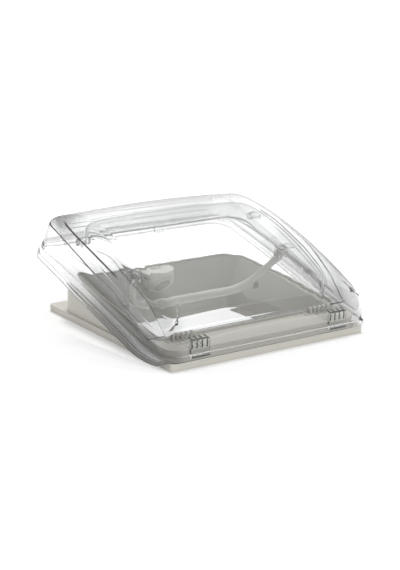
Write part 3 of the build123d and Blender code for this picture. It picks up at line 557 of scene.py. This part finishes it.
shut = np.vstack(outer_shut + [inside_top[None], outside_top[None]])
around = len(lip_place)
outward = np.repeat([0.0, 1.0], [len(inside) * around, (len(bead) + len(wall_rows)) * around])
outward = np.append(outward, [0, 1])
rear_ends = (-170, 200)
# Painted dark lines, where edges show bent through the outer pane's walls
painted_line_sets = {
    "left": [
        painted_wall_line(
            [(-210, 66), (-150, 65), (-79, 67), (-33, 73), (58, 75), (188, 77), (215, 90)],
            "y",
            (-215, 222),
            -1,
        ),
        painted_wall_line([(-29, 104), (27.5, 106), (90, 108), (158, 110), (209, 113)], "y", (-26, 212), -1),
        painted_wall_line([(-237, 80), (-157, 109), (-46, 121), (12, 128), (83, 113)], "y", (-236, 70), -1),
    ],
    "right": [
        painted_wall_line([(-176, 46), (-135, 82), (-95, 103), (-34.6, 125), (56.5, 133)], "y", (-176, 60), 1),
        painted_wall_line([(-127, 45), (-111, 68), (-60, 96), (13, 111), (77, 118), (148, 115)], "y", (-124, 140), 1),
        painted_wall_line([(-91, 64), (-40, 79), (13, 90), (82, 100)], "y", (-96, 80), 1),
    ],
    "rear": [
        painted_wall_line([(-160, 60.8), (-70, 64.5), (37, 66), (204, 61.8), (278, 59.6)], "x", (-170, 190), "rear"),
        painted_wall_line([(-163, 46.5), (-66, 48.3), (41.5, 48), (209, 45.7), (292, 39.5)], "x", rear_ends, "rear"),
        painted_wall_line([(-152, 15), (-107, 34), (-61, 48), (23, 57), (87, 50), (188, 52)], "y", (-150, 180), 1),
    ],
}
for name, triple in painted_line_sets.items():
    keep(outer_mesh, "painted_lines_" + name, "FLOAT_VECTOR", np.column_stack([d for d, _ in triple]))
    keep(outer_mesh, "gates_" + name, "FLOAT_VECTOR", np.column_stack([g for _, g in triple]))

# Painted shade of each side wall, as shares of light that pass at places from the front to the rear
right_places = np.array([-270, -235, -215, -165, -95, 0, 100, 250]) * mm
right_shares = [0.85, 0.85, 0.75, 0.42, 0.60, 0.74, 0.85, 0.88]
left_places = np.array([-270, -200, -100, 0, 60, 120, 300]) * mm
left_shares = [0.68, 0.68, 0.66, 0.66, 0.70, 0.76, 0.78]
top_share = 0.955
x, y, z = shut[:, 0], shut[:, 1], shut[:, 2]
on_side = fade(np.abs(x), 195 * mm, 235 * mm)
on_rear = fade(y, 215 * mm, 255 * mm)
right_painted_shade = np.interp(y, right_places, right_shares)
left_painted_shade = np.interp(y, left_places, left_shares)
# Painted shade: the left wall is darker low down towards the front
low_painted_shade = 1 - 0.4 * (1 - fade(z, 10 * mm, 45 * mm)) * (1 - fade(y, -60 * mm, 80 * mm))
left_painted_shade = left_painted_shade * low_painted_shade
# Painted shade in the rounded corner at the top rear of the left wall
corner_painted_shade = fade(y, 150 * mm, 230 * mm) * fade(z, 88 * mm, 104 * mm) * fade(-x, 190 * mm, 235 * mm)
rear_corner = 1 - 0.6 * corner_painted_shade
side_painted_shade = np.where(x > 0, right_painted_shade, left_painted_shade)
painted_shade = top_share + (side_painted_shade - top_share) * on_side
# Painted shade on the rear wall, darker towards the right
rear_painted_shade = 0.84 - 0.14 * fade(x, -20 * mm, 160 * mm)
on_back = on_rear * (1 - on_side)
painted_shade = (painted_shade * (1 - on_back) + rear_painted_shade * on_back) * rear_corner
keep(outer_mesh, "painted_shade", "FLOAT", np.where(outward > 0, painted_shade, 1.0))
cup = np.vstack(inner_shut + [cup_in_top[None], cup_out_top[None]])
on_ledge = fade(np.abs(cup[:, 0]), 222 * mm, 228 * mm)
# Painted shade: the inner pane's ledge is greyer than its cup
keep(inner_mesh, "painted_shade", "FLOAT", 0.985 - 0.06 * on_ledge)
print("kept smoke and", sum(len(t) for t in painted_line_sets.values()), "lines on the outer pane")


# %% [markdown]
# ## Finishes
# Moulded plastic has a faint grain and a little unevenness in its colour. One node group makes
# both from noise on object coordinates and serves every moulded piece with its own numbers.

# %% Moulded grain as a node group
def moulded_group():
    """Colour, roughness and grain height of moulded plastic, from two scales of noise."""
    tree = bpy.data.node_groups.new("moulded plastic", "ShaderNodeTree")
    for name, kind, default in [
        ("Colour", "NodeSocketColor", (0.8, 0.8, 0.8, 1)),
        ("Shade", "NodeSocketFloat", 0.05),
        ("Roughness", "NodeSocketFloat", 0.4),
        ("Grain", "NodeSocketFloat", 900.0),
    ]:
        socket = tree.interface.new_socket(name, in_out="INPUT", socket_type=kind)
        socket.default_value = default
    tree.interface.new_socket("Colour", in_out="OUTPUT", socket_type="NodeSocketColor")
    tree.interface.new_socket("Roughness", in_out="OUTPUT", socket_type="NodeSocketFloat")
    tree.interface.new_socket("Height", in_out="OUTPUT", socket_type="NodeSocketFloat")
    nodes, links = tree.nodes, tree.links
    given = nodes.new("NodeGroupInput")
    result = nodes.new("NodeGroupOutput")
    where = nodes.new("ShaderNodeTexCoord")
    grain = nodes.new("ShaderNodeTexNoise")
    grain.inputs["Detail"].default_value = 2
    links.new(where.outputs["Object"], grain.inputs["Vector"])
    links.new(given.outputs["Grain"], grain.inputs["Scale"])
    cloud = nodes.new("ShaderNodeTexNoise")
    cloud.inputs["Scale"].default_value = 9
    cloud.inputs["Detail"].default_value = 3
    links.new(where.outputs["Object"], cloud.inputs["Vector"])
    centred = nodes.new("ShaderNodeMath")
    centred.operation = "SUBTRACT"
    centred.inputs[1].default_value = 0.5
    links.new(cloud.outputs["Fac"], centred.inputs[0])
    scaled = nodes.new("ShaderNodeMath")
    scaled.operation = "MULTIPLY_ADD"
    scaled.inputs[2].default_value = 1.0
    links.new(centred.outputs[0], scaled.inputs[0])
    links.new(given.outputs["Shade"], scaled.inputs[1])
    tone = nodes.new("ShaderNodeVectorMath")
    tone.operation = "SCALE"
    links.new(given.outputs["Colour"], tone.inputs[0])
    links.new(scaled.outputs[0], tone.inputs["Scale"])
    links.new(tone.outputs[0], result.inputs["Colour"])
    rough = nodes.new("ShaderNodeMath")
    rough.operation = "MULTIPLY_ADD"
    rough.inputs[1].default_value = 0.12
    links.new(centred.outputs[0], rough.inputs[0])
    links.new(given.outputs["Roughness"], rough.inputs[2])
    links.new(rough.outputs[0], result.inputs["Roughness"])
    links.new(grain.outputs["Fac"], result.inputs["Height"])
    return tree


moulded = moulded_group()


def moulded_plastic(name, colour, roughness, bump=0.06, metallic=0.0, specular=0.4):
    """Material of one moulded or cast finish, with its own numbers in the shared group."""
    made = bpy.data.materials.new(name)
    made.use_nodes = True
    nodes, links = made.node_tree.nodes, made.node_tree.links
    shader = nodes["Principled BSDF"]
    look = nodes.new("ShaderNodeGroup")
    look.node_tree = moulded
    look.inputs["Colour"].default_value = (*colour, 1)
    look.inputs["Shade"].default_value = 0.06
    look.inputs["Roughness"].default_value = roughness
    look.inputs["Grain"].default_value = 900.0
    ridge = nodes.new("ShaderNodeBump")
    ridge.inputs["Strength"].default_value = bump
    ridge.inputs["Distance"].default_value = 0.6 * mm
    links.new(look.outputs["Height"], ridge.inputs["Height"])
    links.new(look.outputs["Colour"], shader.inputs["Base Color"])
    links.new(look.outputs["Roughness"], shader.inputs["Roughness"])
    links.new(ridge.outputs["Normal"], shader.inputs["Normal"])
    shader.inputs["Metallic"].default_value = metallic
    shader.inputs["Specular IOR Level"].default_value = specular
    return made


frame_cream = moulded_plastic("cream frame plastic", (0.68, 0.66, 0.595), 0.4)
liner_grey = moulded_plastic("warm grey liner plastic", (0.63, 0.615, 0.565), 0.42)
bow_grey = moulded_plastic("warm grey bow plastic", (0.80, 0.78, 0.715), 0.38)
latch_cream = moulded_plastic("cream latch plastic", (0.86, 0.845, 0.785), 0.38)
button_grey = moulded_plastic("grey button plastic", (0.36, 0.345, 0.30), 0.45)
seal_grey = moulded_plastic("grey seal rubber", (0.50, 0.485, 0.44), 0.6, specular=0.25)
buffer_grey = moulded_plastic("grey buffer rubber", (0.3, 0.3, 0.28), 0.6, specular=0.25)
bright_steel = moulded_plastic("bright steel", (0.6, 0.6, 0.6), 0.3, metallic=1.0, bump=0.02)

# %% [markdown]
# ## Ring of the push button
# The push button has a grey middle and a cream ring. How far a point lies from the button's
# slanting axis decides which of the two it gets.

# %% Cream ring of the push button
def ringed(material, centre, axis, radius, colour):
    """Give a moulded material another colour beyond a radius round an axis."""
    nodes, links = material.node_tree.nodes, material.node_tree.links
    look = next(n for n in nodes if n.bl_idname == "ShaderNodeGroup")
    where = nodes.new("ShaderNodeTexCoord")
    offset = nodes.new("ShaderNodeVectorMath")
    offset.operation = "SUBTRACT"
    offset.inputs[1].default_value = centre
    across = nodes.new("ShaderNodeVectorMath")
    across.operation = "CROSS_PRODUCT"
    across.inputs[1].default_value = axis
    reach = nodes.new("ShaderNodeVectorMath")
    reach.operation = "LENGTH"
    step = nodes.new("ShaderNodeMapRange")
    step.inputs["From Min"].default_value = radius - 0.4 * mm
    step.inputs["From Max"].default_value = radius + 0.4 * mm
    blend = nodes.new("ShaderNodeMix")
    blend.data_type = "RGBA"
    blend.inputs["A"].default_value = look.inputs["Colour"].default_value
    blend.inputs["B"].default_value = (*colour, 1)
    links.new(where.outputs["Object"], offset.inputs[0])
    links.new(offset.outputs["Vector"], across.inputs[0])
    links.new(across.outputs["Vector"], reach.inputs[0])
    links.new(reach.outputs["Value"], step.inputs["Value"])
    links.new(step.outputs["Result"], blend.inputs["Factor"])
    links.new(blend.outputs["Result"], look.inputs["Colour"])


button_lean = math.radians(41)
button_axis = (0, math.cos(button_lean), math.sin(button_lean))
button_middle = (0, 166 * mm, 46 * mm)
ringed(button_grey, button_middle, button_axis, 18.5 * mm, (0.72, 0.705, 0.65))

# %% [markdown]
# ## Clear acrylic
# Polished acrylic bends light with an index of 1.49 on its way in and back on its way out. Its
# colour carries painted shade, painted dark lines and a painted grey where a wall is seen
# edge-on. Light on its way from a lamp passes, so that the pieces inside aren't dark.

# %% Clear acrylic
def stored(nodes, name):
    """Node that reads a value kept on the mesh."""
    node = nodes.new("ShaderNodeAttribute")
    node.attribute_name = name
    return node


def painted_line_shade(nodes, links, name, thin, thick, strength):
    """Darkness of three painted lines: one within thin of its middle, nought beyond thick, times its gate."""
    apart = nodes.new("ShaderNodeVectorMath")
    apart.operation = "ABSOLUTE"
    links.new(stored(nodes, "painted_lines_" + name).outputs["Vector"], apart.inputs[0])
    soft = nodes.new("ShaderNodeMapRange")
    soft.data_type = "FLOAT_VECTOR"
    soft.interpolation_type = "SMOOTHSTEP"
    links.new(apart.outputs[0], soft.inputs[6])
    soft.inputs[7].default_value = [t * mm for t in thin]
    soft.inputs[8].default_value = [t * mm for t in thick]
    soft.inputs[9].default_value = (1, 1, 1)
    soft.inputs[10].default_value = (0, 0, 0)
    gated = nodes.new("ShaderNodeVectorMath")
    gated.operation = "MULTIPLY"
    links.new(soft.outputs[1], gated.inputs[0])
    links.new(stored(nodes, "gates_" + name).outputs["Vector"], gated.inputs[1])
    total = nodes.new("ShaderNodeVectorMath")
    total.operation = "DOT_PRODUCT"
    total.inputs[1].default_value = strength
    links.new(gated.outputs[0], total.inputs[0])
    return total.outputs["Value"]


def chain(nodes, links, operation, a, b):
    """Math node of two sockets or numbers."""
    node = nodes.new("ShaderNodeMath")
    node.operation = operation
    for socket, given in zip(node.inputs, (a, b)):
        if isinstance(given, (int, float)):
            socket.default_value = given
        else:
            links.new(given, socket)
    return node.outputs[0]


def clear_acrylic(name, tint, edge, with_painted_shade=False, lines=(), roughness=0.0):
    """Clear material: edge is the share of light that passes where a wall is seen edge-on, a painted grey
    there.

    Both faces of a wall take the root of the base colour, so the passing share is squared."""
    made = bpy.data.materials.new(name)
    made.use_nodes = True
    nodes, links = made.node_tree.nodes, made.node_tree.links
    shader = nodes["Principled BSDF"]
    shader.inputs["Base Color"].default_value = (*tint, 1)
    shader.inputs["Transmission Weight"].default_value = 1.0
    shader.inputs["IOR"].default_value = 1.49
    haze = nodes.new("ShaderNodeTexNoise")
    haze.inputs["Scale"].default_value = 14
    where = nodes.new("ShaderNodeTexCoord")
    links.new(where.outputs["Object"], haze.inputs["Vector"])
    uneven = chain(nodes, links, "MULTIPLY", haze.outputs["Fac"], 0.004)
    links.new(chain(nodes, links, "ADD", uneven, roughness), shader.inputs["Roughness"])
    # Painted grey where a wall is seen edge-on
    facing = nodes.new("ShaderNodeLayerWeight")
    facing.inputs["Blend"].default_value = 0.5
    grazing = chain(nodes, links, "POWER", facing.outputs["Facing"], 4.0)
    passed = chain(nodes, links, "SUBTRACT", 1.0, chain(nodes, links, "MULTIPLY", grazing, 1 - edge))
    if with_painted_shade:
        passed = chain(nodes, links, "MULTIPLY", passed, stored(nodes, "painted_shade").outputs["Fac"])
    # Painted dark lines darken the colour further
    for group, thin, thick, strength in lines:
        dark = painted_line_shade(nodes, links, group, thin, thick, strength)
        passed = chain(nodes, links, "MULTIPLY", passed, chain(nodes, links, "SUBTRACT", 1.0, dark))
    tone = nodes.new("ShaderNodeVectorMath")
    tone.operation = "SCALE"
    tone.inputs[0].default_value = tint
    links.new(chain(nodes, links, "POWER", passed, 2.0), tone.inputs["Scale"])
    links.new(tone.outputs[0], shader.inputs["Base Color"])
    lit = nodes.new("ShaderNodeBsdfTransparent")
    lit.inputs["Color"].default_value = (*[0.55 + 0.45 * c for c in tint], 1)
    path = nodes.new("ShaderNodeLightPath")
    mix = nodes.new("ShaderNodeMixShader")
    links.new(path.outputs["Is Shadow Ray"], mix.inputs["Fac"])
    links.new(shader.outputs[0], mix.inputs[1])
    links.new(lit.outputs[0], mix.inputs[2])
    links.new(mix.outputs[0], nodes["Material Output"].inputs["Surface"])
    return made


acrylic_tint = (0.985, 0.99, 0.99)
outer_acrylic = clear_acrylic(
    "clear acrylic of the outer pane with painted shade",
    acrylic_tint,
    edge=0.45,
    with_painted_shade=True,
    # Painted dark lines of the left, right and rear sets
    lines=[
        ("left", (0.7, 1.5, 0.5), (1.7, 2.8, 1.5), (0.55, 0.98, 0.5)),
        ("right", (1.7, 1.3, 0.9), (3.2, 2.6, 2.2), (0.98, 0.92, 0.8)),
        ("rear", (0.6, 0.8, 0.6), (1.6, 2.0, 1.6), (0.6, 0.7, 0.6)),
    ],
)
inner_acrylic = clear_acrylic("clear acrylic of the inner pane with painted shade", acrylic_tint, edge=0.5, with_painted_shade=True)
clear_fitting = clear_acrylic("clear plastic of the fittings", (0.95, 0.955, 0.95), edge=0.8, roughness=0.02)

# %% Give every piece its finish
finishes = {
    "base_frame": frame_cream,
    "liner": liner_grey,
    "rim_seal": seal_grey,
    "hinge_bracket": frame_cream,
    "hinge_pin": bright_steel,
    "hinge_screw": bright_steel,
    "liner_screw": bright_steel,
    "latch_housing": latch_cream,
    "latch_spring": bright_steel,
    "latch_screw": bright_steel,
    "dome_outer": outer_acrylic,
    "dome_inner": inner_acrylic,
    "dome_hinge": clear_fitting,
    "pane_stud": clear_fitting,
    "bow_clip": clear_fitting,
    "bow_pivot": bright_steel,
    "latch_keeper": clear_fitting,
    "bow_buffer": buffer_grey,
    "push_button": button_grey,
    "latch_bolt": buffer_grey,
    "bow": bow_grey,
}
for name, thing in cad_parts.items():
    key = max((k for k in finishes if name.startswith(k)), key=len)
    thing.data.materials.clear()
    thing.data.materials.append(finishes[key])
outer_pane.data.materials.append(outer_acrylic)
inner_pane.data.materials.append(inner_acrylic)
print("finishes given to", len(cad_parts), "solids and both panes")

# %% [markdown]
# ## Stage, light and camera
# A white ground with a square hole for the collar stands in for the roof, with a white sheet
# under it. The camera looks at the vent from the front left and a little above.

# %% White ground with a cut-out
glow_near, glow_far = 0.36, 0.62


def seen_straight(nodes, links):
    """One for the camera, glass and gloss, before a path has bounced off a plain surface."""
    path = nodes.new("ShaderNodeLightPath")
    seen = chain(nodes, links, "MAXIMUM", path.outputs["Is Camera Ray"], path.outputs["Is Glossy Ray"])
    seen = chain(nodes, links, "MAXIMUM", seen, path.outputs["Is Transmission Ray"])
    fresh = chain(nodes, links, "LESS_THAN", path.outputs["Diffuse Depth"], 0.5)
    return chain(nodes, links, "MULTIPLY", seen, fresh)


def ground_material(name, level):
    """White that glows for the camera, glass and gloss alone, and keeps the shadow under it."""
    made = bpy.data.materials.new(name)
    made.use_nodes = True
    nodes, links = made.node_tree.nodes, made.node_tree.links
    shader = nodes["Principled BSDF"]
    shader.inputs["Base Color"].default_value = (0.8, 0.8, 0.8, 1)
    shader.inputs["Roughness"].default_value = 1.0
    shader.inputs["Specular IOR Level"].default_value = 0.0
    where = nodes.new("ShaderNodeTexCoord")
    far = nodes.new("ShaderNodeVectorMath")
    far.operation = "LENGTH"
    links.new(where.outputs["Object"], far.inputs[0])
    spread = nodes.new("ShaderNodeMapRange")
    spread.inputs["From Min"].default_value = glow_near
    spread.inputs["From Max"].default_value = glow_far
    spread.inputs["To Min"].default_value = level
    spread.inputs["To Max"].default_value = 1.0
    links.new(far.outputs["Value"], spread.inputs["Value"])
    glow = nodes.new("ShaderNodeEmission")
    strength = chain(nodes, links, "MULTIPLY", seen_straight(nodes, links), spread.outputs["Result"])
    links.new(strength, glow.inputs["Strength"])
    add = nodes.new("ShaderNodeAddShader")
    links.new(shader.outputs[0], add.inputs[0])
    links.new(glow.outputs[0], add.inputs[1])
    links.new(add.outputs[0], nodes["Material Output"].inputs["Surface"])
    return made


def square_ring(name, inner, outer, z):
    """Flat square ring, as two square outlines joined by four faces."""
    corners = ((-1, -1), (1, -1), (1, 1), (-1, 1))
    points = [(sx * s, sy * s, z) for s in (inner, outer) for sx, sy in corners]
    faces = [(i, 4 + i, 4 + (i + 1) % 4, (i + 1) % 4) for i in range(4)]
    mesh = bpy.data.meshes.new(name)
    mesh.from_pydata(points, [], faces)
    mesh.update()
    thing = bpy.data.objects.new(name, mesh)
    bpy.context.scene.collection.objects.link(thing)
    return thing


ground = square_ring("ground", 199.5 * mm, 9.0, -0.2 * mm)
under_sheet = square_ring("under_sheet", 0.0001, 3.0, -90 * mm)
ground.data.materials.append(ground_material("white ground", 0.22))
under_sheet.data.materials.append(ground_material("white sheet below", 1.0))
print("stage", ground.name, under_sheet.name)

# %% Soft light
world = bpy.data.worlds.new("studio")
bpy.context.scene.world = world
world.use_nodes = True
sky = world.node_tree.nodes["Background"]
sky.inputs["Color"].default_value = (1, 1, 1, 1)
sky_nodes, sky_links = world.node_tree.nodes, world.node_tree.links
level = sky_nodes.new("ShaderNodeMapRange")
level.inputs["To Min"].default_value = 0.58
level.inputs["To Max"].default_value = 1.0
sky_links.new(seen_straight(sky_nodes, sky_links), level.inputs["Value"])
sky_links.new(level.outputs["Result"], sky.inputs["Strength"])


def soft_lamp(name, place, aim, size, power):
    """Square area lamp that points at a place and shows neither in gloss nor through glass."""
    data = bpy.data.lights.new(name, "AREA")
    data.shape = "SQUARE"
    data.size = size
    data.energy = power
    lamp = bpy.data.objects.new(name, data)
    bpy.context.scene.collection.objects.link(lamp)
    lamp.visible_transmission = False
    lamp.visible_glossy = False
    lamp.location = place
    lamp.rotation_euler = (Vector(aim) - Vector(place)).to_track_quat("-Z", "Y").to_euler()
    print("lamp", name)


soft_lamp("key", (0.6, 1.0, 2.4), (0, 0, 0), 0.8, 36)
soft_lamp("fill", (-0.3, -2.2, 1.0), (0, 0, 0), 1.0, 11)

# %% Camera
azimuth, elevation = math.radians(-33.34), math.radians(15.41)
level_share = math.cos(elevation)
back = Vector((math.sin(azimuth) * level_share, -math.cos(azimuth) * level_share, math.sin(elevation)))
right = Vector((math.cos(azimuth), math.sin(azimuth), 0))
up = back.cross(right)
eye = right * (-3.9 * mm) + up * (78.4 * mm) + back * (2999 * mm)
camera_data = bpy.data.cameras.new("camera")
camera_data.sensor_width = 36
camera_data.lens = 1372 / 570 * 36
camera = bpy.data.objects.new("camera", camera_data)
bpy.context.scene.collection.objects.link(camera)
camera.matrix_world = Matrix.Translation(eye) @ Matrix((right, up, back)).transposed().to_4x4()
bpy.context.scene.camera = camera
bpy.context.scene.view_settings.view_transform = "Standard"
print("camera at", [round(c, 3) for c in eye])
